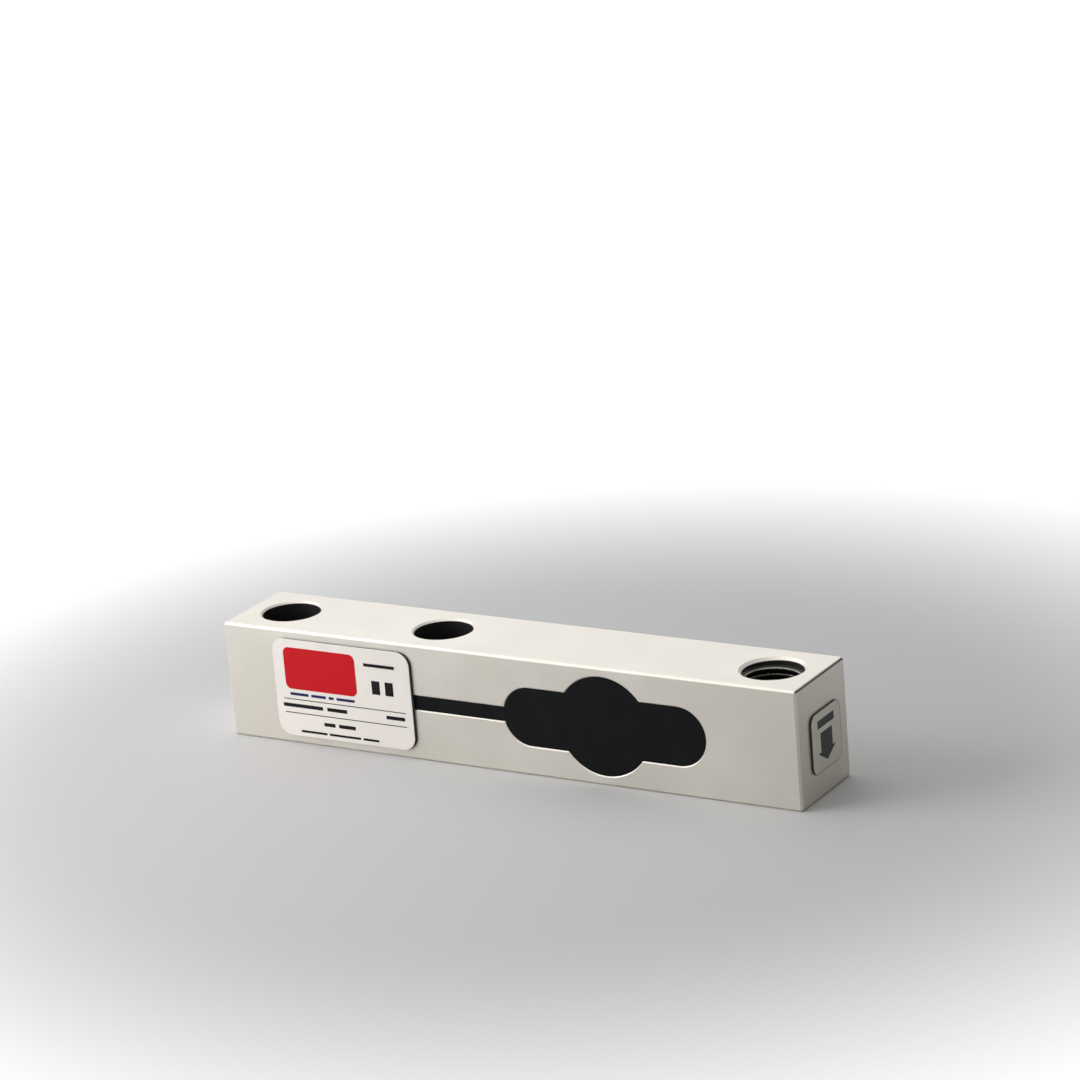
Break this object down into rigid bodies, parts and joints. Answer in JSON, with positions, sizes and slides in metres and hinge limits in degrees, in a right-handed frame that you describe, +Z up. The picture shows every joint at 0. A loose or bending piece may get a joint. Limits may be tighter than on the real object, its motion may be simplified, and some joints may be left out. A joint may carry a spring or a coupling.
{
  "type": "shear beam load cell",
  "caption": "Low profile shear beam load cell: a square steel bar with fixing bores, a threaded load hole and potted gauge pockets.",
  "frame": {"origin": "middle of the beam's flat underside", "axes": "+X along the beam towards the load end, +Z up, the labelled side faces -Y"},
  "size_m": [0.1364, 0.0221, 0.0254],
  "materials": {
    "plated_steel": "satin nickel plating on machined alloy steel",
    "potting_compound": "near-black cast resin, faintly speckled",
    "gauge_film": "amber polyimide film",
    "gauge_foil": "etched constantan foil",
    "circuit_board": "green glass laminate",
    "copper": "bare copper",
    "enamelled_wire": "copper wire in clear enamel",
    "solder": "dull solder",
    "resistor_body": "glazed body",
    "adhesive_foam": "black closed-cell foam",
    "rating_print": "cream printed film, satin",
    "load_print": "silver-grey printed film, satin"
  },
  "bodies": {
    "root": {"beam": "plated_steel", "front_potting": "potting_compound", "rear_potting": "potting_compound", "front_gauge_carrier": "gauge_film", "rear_gauge_carrier": "gauge_film", "front_gauge_grids": "gauge_foil", "rear_gauge_grids": "gauge_foil", "terminal_board": "circuit_board", "compensation_board": "circuit_board", "terminal_pads": "copper", "compensation_pads": "copper", "front_gauge_wires": "enamelled_wire", "rear_gauge_wires": "enamelled_wire", "board_link_wires": "enamelled_wire", "gauge_solder": "solder", "board_solder": "solder", "zero_balance_resistor": "resistor_body", "span_resistor": "resistor_body", "rating_label_tape": "adhesive_foam", "rating_label_face": "rating_print", "load_label_tape": "adhesive_foam", "load_label_face": "load_print"}
  },
  "joints": []
}
